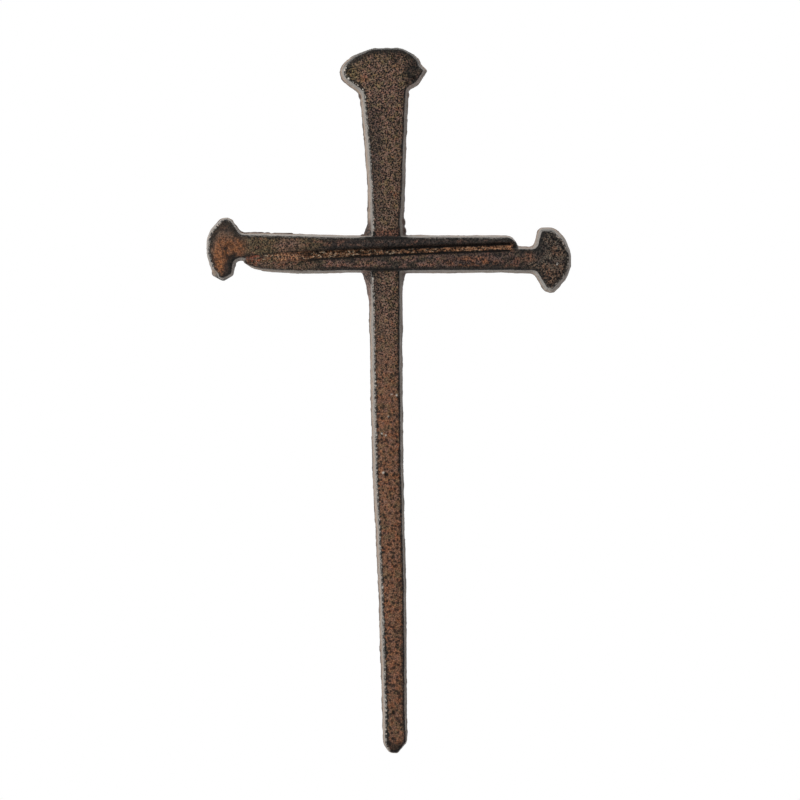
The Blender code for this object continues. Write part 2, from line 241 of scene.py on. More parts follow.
def neighbour_mean(values, edges):
    """The mean of each vertex's neighbours."""
    count = len(values)
    share = np.bincount(edges[:, 0], minlength=count) + np.bincount(edges[:, 1], minlength=count)
    share = np.maximum(share, 1)
    out = np.empty_like(values)
    for axis in range(values.shape[1]):
        total = np.bincount(edges[:, 0], weights=values[edges[:, 1], axis], minlength=count)
        total += np.bincount(edges[:, 1], weights=values[edges[:, 0], axis], minlength=count)
        out[:, axis] = total / share
    return out


def vertex_normals(mesh, edges, steps):
    """The vertices' normals, evened out by so many steps of averaging."""
    normals = np.empty(len(mesh.vertices) * 3)
    mesh.vertex_normals.foreach_get("vector", normals)
    normals = normals.reshape(-1, 3)
    for _ in range(steps):
        normals = normals * 0.5 + neighbour_mean(normals, edges) * 0.5
        normals /= np.maximum(np.linalg.norm(normals, axis=1, keepdims=True), 1e-9)
    return normals


def applied(obj):
    """The object's mesh with its modifiers applied."""
    graph = bpy.context.evaluated_depsgraph_get()
    mesh = bpy.data.meshes.new_from_object(obj.evaluated_get(graph))
    obj.modifiers.clear()
    old = obj.data
    obj.data = mesh
    bpy.data.meshes.remove(old)
    return mesh


def solid_mesh():
    """The casting's plain solid in world coordinates."""
    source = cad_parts[NODE]
    mesh = source.data.copy()
    mesh.transform(source.matrix_world)
    return mesh


def fine_copy(name):
    """The casting's solid as an even fine mesh with softened edges."""
    obj = bpy.data.objects.new(name, solid_mesh())
    bpy.context.scene.collection.objects.link(obj)
    remesh = obj.modifiers.new("remesh", "REMESH")
    remesh.mode = "VOXEL"
    remesh.voxel_size = VOXEL
    mesh = applied(obj)
    points, edges = read_mesh(mesh)
    for _ in range(SMOOTH_STEPS):
        points += SMOOTH_SHARE * (neighbour_mean(points, edges) - points)
    write_points(mesh, points)
    return obj


def nearest_normals(points, solid):
    """The normal of the solid's face nearest to each point."""
    tree = BVHTree.FromPolygons([vertex.co for vertex in solid.vertices],
                                [face.vertices for face in solid.polygons])
    return np.array([tree.find_nearest(Vector(point))[1] for point in points])


def spot(p, across, up, reach, stretch=1.0, turn=0.0):
    """1 at the place, falling softly to 0 at the reach; the stretch widens it along the turn."""
    dx = p[:, 0] - across
    dz = p[:, 2] - up
    along = (dx * math.cos(turn) + dz * math.sin(turn)) / (reach * stretch)
    aside = (dz * math.cos(turn) - dx * math.sin(turn)) / reach
    return 1 - smoothstep(0.3, 1.0, np.hypot(along, aside))


class Skin:
    """Where each point lies on the casting: its face, side, arris or back, and its part of the cross."""

    def __init__(self, points, solid):
        self.p = points / MM
        self.x, self.y, self.z = self.p.T
        ragged = 0.22 * np.stack([fractal(self.p, 0.9, 301 + axis, 2) for axis in (0, 1, 2)], axis=1)
        self.normal = nearest_normals(points + ragged * MM, solid)
        self.find_faces()
        self.find_parts()
        self.make_groove_front()

    def find_faces(self):
        """1 on the front, the sides, the back or the arrises, and how near and how lit the front edge is."""
        front = -self.normal[:, 1]
        self.back = (front < BACK_TO).astype(float)
        self.face = (front > FRONT_FROM).astype(float)
        self.side = ((front <= SIDE_TO) & (front >= BACK_TO)).astype(float)
        self.arris = 1 - self.back - self.face - self.side
        self.edge, self.lit = self.nearest_arris()
        self.lit *= smoothstep(82.0, 79.0, self.z)
        self.lit = np.where(self.x > 58.0, smoothstep(67.0, 73.0, self.x), self.lit)

    def find_parts(self):
        """How much each point belongs to the crossbar, a head, the upright or its lower parts."""
        raised = np.maximum(smoothstep(-10.6, -11.2, self.y), np.abs(self.z) < 6.0)
        raised = np.maximum(raised, smoothstep(9.0, 9.8, np.abs(self.x)))
        self.crossbar = smoothstep(9.9, 9.0, np.abs(self.z)) * smoothstep(66.0, 60.0, np.abs(self.x)) * raised
        self.left_head = smoothstep(-56.0, -64.0, self.x)
        self.right_head = smoothstep(58.0, 64.0, self.x)
        self.upright = 1 - np.clip(self.crossbar + self.left_head + self.right_head, 0, 1)
        self.lower = smoothstep(-12.0, -75.0, self.z) * self.upright
        self.lowest = smoothstep(-125.0, -185.0, self.z)
        self.groove = self.z - self.groove_line()
        # Where the crossbar's edges pass over the upright; painted black there as shade
        self.shade_over_upright = smoothstep(9.6, 8.6, np.abs(self.x - 0.2)) * (self.y < -9.0)
        self.shade_over_upright *= smoothstep(9.9, 9.0, np.abs(self.z))

    def nearest_arris(self):
        """Distance in the wall plane to the front edge, and 1 where that edge faces up or left."""
        rim = np.nonzero((self.arris > 0.5) & (self.y < -4.0))[0]
        tree = KDTree(len(rim))
        for i in rim:
            tree.insert((self.x[i], 0.0, self.z[i]), int(i))
        tree.balance()
        found = [tree.find((x, 0.0, z))[1:] for x, z in zip(self.x, self.z)]
        nearest = np.array([index for index, _ in found])
        upward = smoothstep(-0.25, 0.35, self.normal[:, 2] - self.normal[:, 0])
        return np.array([gap for _, gap in found]), upward[nearest]

    def make_groove_front(self):
        """The groove's walls and ends count as front, so that no pale side shows inside it."""
        inside = (np.abs(self.groove) < 2.6) & (self.x > -60.0) & (self.x < 57.0) & (self.y < -5.0)
        outline = np.interp(self.x, LOWER_TIP_OUTLINE[0], LOWER_TIP_OUTLINE[1])
        over_tip = (self.x > -60.5) & (self.x < -22.0) & (self.z > outline + 1.2) & (self.z < 0.0)
        hidden = (inside | (over_tip & (self.y < -4.5))) & (self.back < 0.5)
        self.face = np.where(hidden, 1.0, self.face)
        self.side = np.where(hidden, 0.0, self.side)
        self.arris = np.where(hidden, 0.0, self.arris)

    def groove_line(self):
        """Height of the groove's middle line at each point's place across the cross."""
        bow = GROOVE_BOW * (1 - (self.x / GROOVE_ENDS[1]) ** 2)
        return GROOVE_MIDDLE + GROOVE_SLOPE * self.x + bow

    def groove_share(self):
        """1 along the groove, fading out at its two ends."""
        ends = smoothstep(GROOVE_ENDS[0], GROOVE_ENDS[0] + 6, self.x)
        ends = ends * smoothstep(GROOVE_ENDS[1], GROOVE_ENDS[1] - 2.5, self.x)
        return ends * (self.y < -6.0)

    def groove_open(self):
        """1 where the groove is at its full depth, fading out over its shallow left end."""
        return self.groove_share() * smoothstep(GROOVE_ENDS[0] + 8, GROOVE_ENDS[0] + 20, self.x)


def groove_depth(skin):
    """The groove's depth at each point, and how far it takes over from the solid's own surface."""
    places, depths = zip(*sorted(GROOVE_PROFILE))
    depth = np.interp(skin.groove, places, depths, left=0.0, right=0.0)
    inside = smoothstep(places[0] - 0.1, places[0] + 0.3, skin.groove)
    inside = inside * smoothstep(places[-1] + 0.1, places[-1] - 0.3, skin.groove)
    return depth * (0.35 + 0.65 * skin.groove_open()), inside * skin.groove_share()


def pit_field(skin):
    """Scattered pits of the lower shaft and smaller ones elsewhere, from 0 to 1."""
    upright_cells = skin.p * np.array([1.0, 0.3, 0.62])
    nearest, number = cells(upright_cells, LOWER_PIT_CELL, 41)
    lower = (1 - smoothstep(0.17, 0.40, nearest)) * (number > 0.25)
    nearest, number = cells(skin.p * np.array([1.0, 0.3, 1.0]), UPPER_PIT_CELL, 57)
    upper = (1 - smoothstep(0.15, 0.38, nearest)) * (number > 0.35)
    return skin.face * np.clip(lower * skin.lower + upper * (1 - skin.lower) * 0.8, 0, 1)


def named_pits(skin):
    """How much of each point lies in a pit of the list, and how deep it is there."""
    pits = np.zeros(len(skin.p))
    depth = np.zeros(len(skin.p))
    for across, up, radius, deep in PITS:
        share = spot(skin.p, across, up, radius * 1.5)
        pits = np.maximum(pits, share)
        depth = np.maximum(depth, share * deep)
    front = skin.face + skin.arris
    return pits * front, depth * front


def bare_glint_specks(skin):
    """1 on the small specks where the paint is off the front, painted bright as glints."""
    return skin.face * np.maximum.reduce([spot(skin.p, across, up, radius) for across, up, radius in BARE_GLINT_SPECKS])


def island_ring(skin):
    """The dark ring round the small raised oval on the left head."""
    outer = spot(skin.p, -67.5, 1.0, 2.6, 1.8, 1.45)
    inner = spot(skin.p, -67.3, 1.2, 1.8, 1.8, 1.45)
    return np.clip(outer * 2.0 - inner * 2.6, 0, 1) * skin.face


def soften_tip(points, edges):
    """Smooth the step where the lower nail's tip thins away under the groove."""
    x, y, z = points.T / MM
    share = smoothstep(-60.0, -55.0, x) * smoothstep(-27.0, -34.0, x) * smoothstep(-8.4, -7.2, z)
    share = (share * smoothstep(0.6, -0.8, z) * (y < -3.5))[:, None]
    for _ in range(TIP_SMOOTH_STEPS):
        points = points + share * TIP_SMOOTH_SHARE * (neighbour_mean(points, edges) - points)
    return points


def relief(skin):
    """Fine height of the casting's skin in millimetres."""
    flat = skin.p * np.array([1.0, 0.35, 1.0])
    upper = skin.upright * (1 - skin.lower)
    rough = 0.5 + 0.5 * upper + 0.3 * skin.lower
    height = skin.face * rough * (0.10 * fractal(flat, 0.9, 23, 2) + 0.05 * fractal(flat, 2.4, 29, 2))
    height -= pit_field(skin) * (0.30 * skin.lower + 0.14 * upper + 0.08)
    height += skin.side * 0.06 * fractal(skin.p * np.array([1.0, 0.5, 1.0]), 1.6, 61, 3)
    height += skin.arris * 0.22 * fractal(flat, 1.3, 71, 2)
    wave = 0.20 * fractal(skin.p, 15.0, 83, 2) + 0.10 * fractal(skin.p, 4.5, 97, 2)
    height += np.minimum(wave, 1.2 * smoothstep(84.0, 78.0, skin.z) - 0.15) * (1 - skin.back)
    height += skin.back * 0.03 * fractal(skin.p, 1.6, 101, 2)
    height -= named_pits(skin)[1]
    height -= 0.25 * island_ring(skin)
    height -= 1.5 * chip(skin)
    return height


def chip(skin):
    """The chipped lower left corner of the left head."""
    return spot(skin.p, -74.0, -8.6, 1.7, 1.6, -0.75) * (skin.y < -5.0)


def flash(skin):
    """Ragged fins at the parting line near the back, higher on the crossbar's top left, and the knobs."""
    parting = smoothstep(-2.0, -1.2, skin.y) * smoothstep(0.1, -0.3, skin.y)
    ragged = smoothstep(0.05, 0.55, fractal(skin.p * np.array([1.0, 0.3, 1.0]), 2.4, 211, 3))
    fins = 0.16 * parting * ragged
    along_top = smoothstep(6.5, 7.5, skin.z) * smoothstep(-64.0, -62.0, skin.x)
    along_top = along_top * smoothstep(-36.0, -40.0, skin.x)
    fins = np.maximum(fins, 0.42 * along_top * parting * smoothstep(-0.35, 0.1, fractal(skin.p, 3.0, 217, 2)))
    near_back = smoothstep(-4.5, -2.5, skin.y)
    for across, up, radius, height in KNOBS:
        fins = np.maximum(fins, height * spot(skin.p, across, up, radius * 1.8) * near_back)
    return fins * skin.side


def sculpt(obj, solid):
    """Push the fine mesh out and in by the relief, inside the solid's own box, and thin it."""
    mesh = obj.data
    points, edges = read_mesh(mesh)
    points = soften_tip(points, edges)
    write_points(mesh, points)
    normals = vertex_normals(mesh, edges, NORMAL_STEPS)
    skin = Skin(points, solid)
    depth, share = groove_depth(skin)
    wander = 0.12 * fractal(skin.p, 1.6, 251, 2)
    points[:, 1] += share * (-(GROOVE_FACE + depth + wander) * MM - points[:, 1])
    points += normals * ((relief(skin) + flash(skin)) * (1 - 0.7 * share))[:, None] * MM
    write_points(mesh, inside_box(points))
    triangles = sum(len(face.vertices) - 2 for face in mesh.polygons)
    thin = obj.modifiers.new("thin", "DECIMATE")
    thin.ratio = min(1.0, TRIANGLE_LIMIT / triangles)
    mesh = applied(obj)
    write_points(mesh, inside_box(read_mesh(mesh)[0]))


# Colours as they look
BLACK = seen(20, 16, 14)
BLUE_BLACK = seen(42, 40, 42)
GREEN_BLACK = seen(44, 42, 36)
GRAIN_BROWN = seen(112, 90, 76)
GRAIN_OLIVE = seen(106, 90, 62)
GRAIN_PINK = seen(122, 92, 82)
RUST = seen(138, 82, 52)
SHAFT_BROWN = seen(123, 88, 68)
SHAFT_OLIVE = seen(108, 88, 64)
SHAFT_RUST = seen(146, 88, 56)
BAR_BLACK = seen(56, 47, 44)
BAR_OLIVE = seen(98, 82, 60)
BAR_RED = seen(106, 74, 62)
CROSSING_RED = seen(104, 66, 54)
HEAD_RUST = seen(152, 96, 56)
HEAD_GREY = seen(88, 77, 67)
# Copper and cream: partly rubbed metal, partly painted highlight and sparkle
COPPER_AND_HIGHLIGHT = seen(178, 128, 94)
COPPER_RED_AND_HIGHLIGHT = seen(196, 104, 72)
CREAM_SPARKLE = seen(206, 184, 158)
# Pale side colours: partly the paint's own tone, partly a painted reflection of the white surroundings
SIDE_WARM_WITH_SHEEN = seen(176, 154, 136)
SIDE_COOL_WITH_SHEEN = seen(160, 153, 146)
# Painted shade for sides that face away from the light
SIDE_PAINTED_SHADE = seen(100, 86, 76)
WEB_BROWN = seen(78, 54, 43)
WEB_PINK = seen(142, 114, 102)
BACK_BROWN = seen(62, 52, 46)
# A painted glint
GLINT = seen(214, 206, 196)

# Tints that multiply the colour, grain by grain
GRAIN_WARM = (1.11, 0.975, 0.89)
GRAIN_COOL = (0.92, 1.015, 1.03)


def plain(colour, skin):
    return np.tile(colour, (len(skin.p), 1))


def face_colour(skin):
    """Rubbed and rusted paint on the front, before the fine grain."""
    p = skin.p
    broad = fractal(p, 6.0, 401, 2)
    hue = fractal(p * np.array([1.0, 1.0, 0.8]), 1.5, 409, 3)
    rust = fractal(p, 2.6, 419, 3)
    upper = upper_colour(skin, hue, broad, rust)
    colour = blend(0.92 * upper, 0.92 * shaft_colour(hue, broad, rust), skin.lower)
    colour = blend(colour, RUST, 0.35 * spot(p, -9.3, 75.4, 2.2, 1.5))
    colour = blend(colour, CROSSING_RED, 0.7 * smoothstep(11.5, 9.5, skin.z) * smoothstep(6.8, 7.6, skin.z))
    colour = blend(colour, bar_colour(skin, hue, broad), skin.crossbar)
    colour = blend(colour, left_head_colour(skin, hue), skin.left_head)
    return blend(colour, right_head_colour(skin, hue, rust), skin.right_head)


def upper_colour(skin, hue, broad, rust):
    """Brown, olive and pink grains of the upper upright, bluer at its left and rustier at its right."""
    colour = blend(GRAIN_BROWN, GRAIN_OLIVE, 0.7 * smoothstep(0.0, 0.5, hue))
    colour = blend(colour, GRAIN_PINK, 0.7 * smoothstep(0.0, 0.5, -hue + 0.4 * broad))
    bluish = 0.45 * smoothstep(0.0, -4.0, skin.x + 2 * broad) * smoothstep(68, 60, skin.z)
    colour = blend(colour, BLUE_BLACK, bluish)
    right = smoothstep(-1.0, 5.0, skin.x)
    rusty = (0.15 + 0.5 * right) * (1 - 0.6 * smoothstep(62.0, 70.0, skin.z))
    colour = blend(colour, RUST, rusty * smoothstep(0.28, 0.6, rust))
    return blend(colour, GRAIN_OLIVE, 0.8 * spot(skin.p, -15.0, 78.0, 6.0))


def shaft_colour(hue, broad, rust):
    """Warmer brown, olive, rust and pink grains of the lower shaft."""
    colour = blend(SHAFT_BROWN, SHAFT_OLIVE, 0.7 * smoothstep(0.0, 0.4, hue + 0.5 * broad))
    colour = blend(colour, SHAFT_RUST, 0.5 * smoothstep(-0.1, 0.5, rust))
    return blend(colour, GRAIN_PINK, 0.5 * smoothstep(0.1, 0.5, -hue))


def bar_colour(skin, hue, broad):
    """Darker paint on the crossbar nails, olive and pink towards the left, patchy on the lower nail."""
    p = skin.p
    mottle = fractal(p * np.array([0.7, 1.0, 1.0]), 1.3, 437, 3)
    colour = blend(BAR_BLACK, BAR_OLIVE, smoothstep(-20.0, -40.0, skin.x + 8 * broad) + 0.4 * mottle)
    colour = blend(colour, BAR_RED, 0.8 * smoothstep(0.1, 0.5, mottle))
    colour = blend(colour, GRAIN_PINK, 0.8 * spot(p, -42.0, 3.2, 6.0, 1.4) * (0.75 + 0.5 * hue))
    lower_nail = smoothstep(-1.0, -2.2, skin.groove)
    patchy = fractal(p * np.array([0.6, 1.0, 1.0]), 2.4, 431, 3)
    colour = blend(colour, GRAIN_PINK, lower_nail * (0.5 + 0.6 * patchy))
    colour = blend(colour, BAR_OLIVE, 0.7 * lower_nail * smoothstep(0.0, 0.4, hue))
    colour = blend(colour, RUST, 0.4 * lower_nail * smoothstep(0.15, 0.5, patchy))
    colour = blend(colour, GREEN_BLACK, 0.7 * lower_nail * smoothstep(0.10, 0.4, -patchy))
    colour = blend(colour, BAR_BLACK, 0.45 * lower_nail * smoothstep(18.0, 26.0, skin.x))
    rusty = 0.5 * lower_nail * spot(p, 38.0, -3.4, 3.2, 4.5) * smoothstep(-0.2, 0.2, hue)
    return blend(colour, SHAFT_RUST, rusty)


def left_head_colour(skin, hue):
    """Orange rust over grey, with patches of dark paint left on it."""
    p = skin.p
    colour = blend(HEAD_GREY, HEAD_RUST, 1.2 * spot(p, -70.8, -1.5, 5.2, 2.2, 1.5))
    colour = blend(colour, HEAD_RUST, spot(p, -65.0, 3.0, 5.5, 1.3))
    colour = blend(colour, RUST, 0.8 * spot(p, -61.0, -0.5, 3.5, 1.2))
    colour = blend(colour, SHAFT_BROWN, 0.35 + 0.6 * hue)
    colour = blend(colour, BAR_BLACK, 0.6 * smoothstep(0.05, 0.45, fractal(p, 2.6, 433, 3)))
    colour = blend(colour, BAR_BLACK, 0.5 * smoothstep(0.1, 0.4, fractal(p, 1.1, 439, 2)))
    return blend(colour, BAR_BLACK, 0.85 * spot(p, -68.0, -6.2, 3.3, 1.7, 1.5))


def right_head_colour(skin, hue, rust):
    """Grey and black paint, browner below, with a little rust at the neck."""
    colour = blend(HEAD_GREY, BAR_BLACK, smoothstep(-0.1, 0.5, -hue))
    brown = 0.45 * smoothstep(0.15, 0.5, rust) + 0.3 * smoothstep(-2, -10, skin.z)
    colour = blend(colour, SHAFT_BROWN, brown)
    colour = blend(colour, BAR_BLACK, 0.8 * spot(skin.p, 66.0, 1.0, 5.0, 1.4, 1.3))
    return blend(colour, SHAFT_RUST, 0.35 * spot(skin.p, 59.5, -1.5, 4.5, 1.3))


def paint_and_shade_left(skin):
    """How dark the front is made: black along the rims, painted shade along the heads' rounded rims and above
    the groove, and black paint left in dark patches.
    """
    p = skin.p
    uneven = fractal(p, 1.2, 443, 3)
    bites = fractal(p, 1.1, 447, 2)
    bitten = skin.edge + 1.0 * bites - 0.35 * skin.lowest
    rim = (0.45 + 0.35 * skin.lit + 0.2 * skin.lower) * smoothstep(0.70, 0.30, bitten)
    # Painted shade of rounded rims: dark along the top head's crown and round the left and right heads
    crown = smoothstep(76.0, 80.0, skin.z) * smoothstep(2.4, 0.8, skin.edge + 0.9 * uneven)
    left_rim = skin.left_head * smoothstep(1.5, 0.7, skin.edge + 0.9 * uneven) * smoothstep(-61, -66, skin.x)
    left_top = skin.left_head * smoothstep(2.8, 1.3, skin.edge + 1.0 * uneven) * smoothstep(4.0, 7.0, skin.z)
    right_rim = skin.right_head * smoothstep(1.7, 0.6, skin.edge + 1.0 * uneven)
    on_bar = skin.crossbar * (1 - 0.75 * smoothstep(-26.0, -38.0, skin.x) * (skin.groove < 0))
    reach = 1.3 - 0.6 * skin.lit
    bar_rim = on_bar * smoothstep(reach, reach - 0.7, skin.edge + 1.0 * uneven)
    patch = spot(p, 11.4, 77.8, 5.6, 1.5, 1.4) * (0.85 + 0.6 * uneven)
    low_left = spot(p, *HEAD_LOW_LEFT, 7.5, 1.6, -0.75) * smoothstep(1.2, 0.5, skin.edge + 0.9 * uneven)
    tip = 0.85 * smoothstep(-209.0, -212.0, skin.z + 2.0 * uneven)
    tip = np.maximum(tip, 0.12 * smoothstep(-180.0, -200.0, skin.z + 6.0 * uneven))
    # Painted shade: dark along the upper nail's lower edge, just above the groove
    above = smoothstep(1.6, 2.1, skin.groove) * smoothstep(3.8, 2.4, skin.groove + uneven)
    shade_above_groove = above * skin.groove_open()
    return np.clip(np.maximum.reduce([rim, 0.85 * crown, 0.8 * left_rim, 0.75 * left_top, 0.7 * right_rim,
                                      0.8 * bar_rim, patch, 0.75 * low_left, tip, 0.6 * shade_above_groove]), 0, 1)


def side_colour(skin):
    """Drafted sides, pale partly in the paint's own tone and partly as a painted reflection of the white
    surroundings, warm near the wall and cool near the front, with painted shade below and to the right.
    """
    p = skin.p
    stain = fractal(p * np.array([1.0, 0.8, 0.5]), 2.6, 461, 3)
    specks = fractal(p, 0.8, 467, 2)
    # Pale side colour, partly a painted reflection of the white surroundings
    colour = blend(SIDE_WARM_WITH_SHEEN, SIDE_COOL_WITH_SHEEN, smoothstep(-3.0, -7.0, skin.y + 3.0 * stain))
    # Painted shade: sides facing right and down, away from the light, are darkened
    away = np.clip(0.95 * skin.normal[:, 0] - 0.75 * skin.normal[:, 2], 0, 1)
    colour = blend(colour, SIDE_PAINTED_SHADE, away * (0.85 + 0.5 * stain))
    colour = blend(colour, BACK_BROWN, 0.85 * smoothstep(-2.8, -1.0, skin.y + 1.8 * stain))
    colour = blend(colour, GREEN_BLACK, painted_tops(skin, stain))
    colour = blend(colour, BACK_BROWN, 0.6 * smoothstep(0.4, 0.65, specks))
    colour = web_colour(colour, skin, specks)
    colour = blend(colour, WEB_BROWN, 0.85 * smoothstep(0.03, 0.12, flash(skin)))
    under_head = smoothstep(-9.3, -10.2, skin.z) * smoothstep(-63.0, -65.0, skin.x)
    under_head = under_head * smoothstep(-7.0, -5.0, skin.y)
    colour = blend(colour, BLACK, 0.85 * under_head)
    neck = smoothstep(55.0, 57.5, skin.x) * smoothstep(64.5, 63.0, skin.x) * (skin.z > 2.0)
    under_horn = spot(p, 13.0, 71.5, 8.0)
    colour = blend(colour, WEB_PINK, 0.55 * np.maximum(neck, under_horn) * smoothstep(-0.3, 0.2, stain))
    # Painted shadow: black where the crossbar's side passes over the upright
    return blend(colour, BLACK, 0.9 * skin.shade_over_upright)


def painted_tops(skin, stain):
    """How dark the paint is on the sides of the top head's crown and of the right head's top."""
    crown = smoothstep(79.0, 82.5, skin.z) * smoothstep(-3.5, -6.0, skin.y + stain)
    crown = np.maximum(crown, smoothstep(84.5, 86.5, skin.z + 1.5 * stain))
    right_top = smoothstep(8.5, 10.5, skin.z) * smoothstep(58.0, 61.0, skin.x)
    return 0.8 * crown + 0.7 * right_top * smoothstep(-6.0, -9.0, skin.y)


def web_colour(colour, skin, specks):
    """The sides' colour with the brown and pink webs in the inner corners of the crossing over it."""
    x, z = skin.x, skin.z
    low_left = smoothstep(-6.2, -7.0, x) * smoothstep(-26.0, -20.0, z) * smoothstep(-6.0, -8.0, z)
    top_left = smoothstep(-6.0, -6.9, x) * smoothstep(16.0, 12.0, z) * smoothstep(7.4, 8.0, z)
    top_right = smoothstep(6.8, 7.6, x) * smoothstep(21.0, 16.0, z) * smoothstep(7.4, 8.0, z)
    low_right = smoothstep(6.6, 7.4, x) * smoothstep(-14.0, -10.0, z) * smoothstep(-7.4, -8.0, z)
    close = np.abs(x) < 11.0
    colour = blend(colour, WEB_PINK, low_left * close)
    colour = blend(colour, WEB_BROWN, low_left * close * smoothstep(-0.1, 0.2, specks))
    web = np.maximum.reduce([top_left, top_right, 0.8 * low_right]) * close
    return blend(colour, WEB_BROWN, web * (0.6 + 0.4 * smoothstep(-0.4, 0.1, specks)))


def front_colour(skin):
    """The front with the black paint and painted shade, the pits, the ring and the bare specks, painted
    bright as glints, on it.
    """
    colour = face_colour(skin)
    dark = blend(plain(BLACK, skin), GREEN_BLACK, 0.5 + 0.9 * fractal(skin.p, 1.6, 453, 2))
    colour = blend(colour, dark, paint_and_shade_left(skin))
    colour = blend(colour, BLACK, np.maximum(0.35 * pit_field(skin), 0.85 * named_pits(skin)[0]))
    colour = blend(colour, BLACK, 0.75 * island_ring(skin))
    return blend(colour, GLINT, 0.9 * bare_glint_specks(skin))


def arris_colour(skin, front, side, ragged):
    """Black front edges, broken by the front's colour and, where they face the light, by the side's."""
    colour = blend(plain(BLACK, skin), BLUE_BLACK, 0.5 + 0.8 * ragged)
    colour = blend(colour, front, 0.8 * smoothstep(0.0, 0.30, ragged))
    # Painted light: edges that face the light take the pale side colour
    pale = blend(side, BLUE_BLACK, 0.9 * smoothstep(-0.15, 0.20, ragged))
    colour = blend(colour, pale, skin.lit * (1 - 0.6 * skin.crossbar))
    # Painted shadow: black where the crossbar's edge passes over the upright
    colour = blend(colour, BLACK, 0.9 * skin.shade_over_upright)
    # The top head's lower left edge: black, with painted glints
    bare = spot(skin.p, *HEAD_LOW_LEFT, 7.5, 1.7, -0.75)
    colour = blend(colour, BLACK, 0.85 * bare)
    return blend(colour, GLINT, bare * smoothstep(0.05, 0.25, fractal(skin.p, 0.9, 487, 2)))


def casting_colour(skin):
    """The colour at every point, with the copper marks (partly rubbed metal, partly painted highlight) and
    the chip's pale facet (partly a painted reflection) over the rest.
    """
    ragged = fractal(skin.p, 0.9, 479, 2)
    front = front_colour(skin)
    side = side_colour(skin)
    arris = arris_colour(skin, front, side, ragged)
    colour = front * skin.face[:, None] + arris * skin.arris[:, None] + side * skin.side[:, None]
    colour += back_colour(skin) * skin.back[:, None]
    in_groove = skin.groove_share() * smoothstep(2.1, 1.8, np.abs(skin.groove))
    colour = blend(colour, groove_colour(skin), in_groove)
    # Copper and cream at the lower nail's tip: partly rubbed metal, partly painted highlight and sparkle
    colour = blend(colour, COPPER_RED_AND_HIGHLIGHT, 0.6 * tip_copper(skin) * smoothstep(-0.3, 0.3, ragged))
    strewn = 0.75 * tip_grains(skin) * smoothstep(0.0, 0.3, fractal(skin.p, 0.9, 497, 2))
    colour = blend(colour, COPPER_AND_HIGHLIGHT, strewn)
    bright = np.maximum(tip_copper(skin), tip_grains(skin))
    colour = blend(colour, CREAM_SPARKLE, 0.8 * bright * smoothstep(0.35, 0.55, fractal(skin.p, 0.8, 499, 2)))
    # The chip's facet takes the pale side colour, partly a painted reflection
    return blend(colour, SIDE_WARM_WITH_SHEEN, 0.8 * chip(skin) * (skin.arris + skin.face))


def back_colour(skin):
    """Plain dark paint on the flat back, a little worn and rusted."""
    worn = fractal(skin.p, 7.0, 503, 3)
    colour = blend(plain(BACK_BROWN, skin), GREEN_BLACK, 0.45 + 1.2 * worn)
    return blend(colour, RUST, 0.3 * smoothstep(0.1, 0.6, fractal(skin.p, 9.0, 509, 3)))


def tip_copper(skin):
    """The rubbed patch where the groove opens out over the lower nail's tip, its red copper partly a painted
    highlight.
    """
    return spot(skin.p, -56.0, -2.5, 2.3, 3.0, 0.06) * skin.face


def tip_grains(skin):
    """Bare grains strewn above that patch, up to where the groove is at its full depth, their copper and
    cream partly painted sparkle.
    """
    return spot(skin.p, -47.0, -1.2, 2.0, 5.0, 0.05) * skin.face


def groove_colour(skin):
    """Walls painted black as shade, and a copper strip along the slope of the lower nail, partly rubbed
    copper and partly painted light, with cream flecks of painted sparkle.
    """
    broken = fractal(skin.p, 0.8, 491, 2) + 0.12 + 0.13 * smoothstep(5.0, 30.0, skin.x)
    strip = smoothstep(-1.05, -0.75, skin.groove) * smoothstep(1.1, 0.7, skin.groove)
    wide = smoothstep(2.0, -12.0, skin.x) * smoothstep(-1.4, -0.9, skin.groove)
    strip = np.maximum(strip, wide * smoothstep(2.0, 1.5, skin.groove))
    bright = 0.52 + 0.25 * smoothstep(0, 45, skin.x)
    # Painted shade: the groove is black; the copper strip on the lower nail's upward slope is partly painted
    # light
    colour = blend(plain(BLACK, skin), COPPER_AND_HIGHLIGHT, strip * bright * smoothstep(-0.15, 0.25, broken))
    cream = smoothstep(0.22, 0.42, fractal(skin.p, 0.7, 493, 2)) * (1 - 0.5 * smoothstep(5.0, 30.0, skin.x))
    # Cream flecks: painted sparkle
    colour = blend(colour, CREAM_SPARKLE, strip * 0.8 * cream)
    walls = blend(plain(BAR_RED, skin), COPPER_AND_HIGHLIGHT, 0.35 + 1.2 * broken)
    return blend(walls, colour, 0.15 + 0.85 * skin.groove_open())


def grain_share(skin):
    """How strongly the fine grain shows: full on the rubbed front, little on the sides."""
    on_face = 1.0 - 0.2 * skin.lower - 0.1 * skin.crossbar - 0.35 * skin.left_head
    share = skin.face * on_face + 0.7 * skin.arris + 0.2 * skin.side + 0.35 * skin.back
    return np.clip(share * (1 - bare_glint_specks(skin)), 0, 1)


def dot_reach(skin):
    """How far the fine dark dots reach round their middles, in cells: wide on the upper upright."""
    on_face = 0.36 - 0.24 * skin.lower - 0.05 * skin.crossbar - 0.12 * skin.left_head - 0.04 * skin.right_head
    return skin.face * on_face + 0.25 * skin.arris + 0.05 * skin.side + 0.2 * skin.back


def pit_reach(skin):
    """How far the larger pits reach round their ragged middles, in cells: widest on the lower shaft."""
    on_face = 0.40 + 0.16 * skin.lower + 0.11 * skin.crossbar + 0.14 * skin.right_head + 0.08 * skin.left_head
    return skin.face * (on_face + 0.06 * skin.lowest) + 0.5 * skin.arris + 0.3 * skin.side


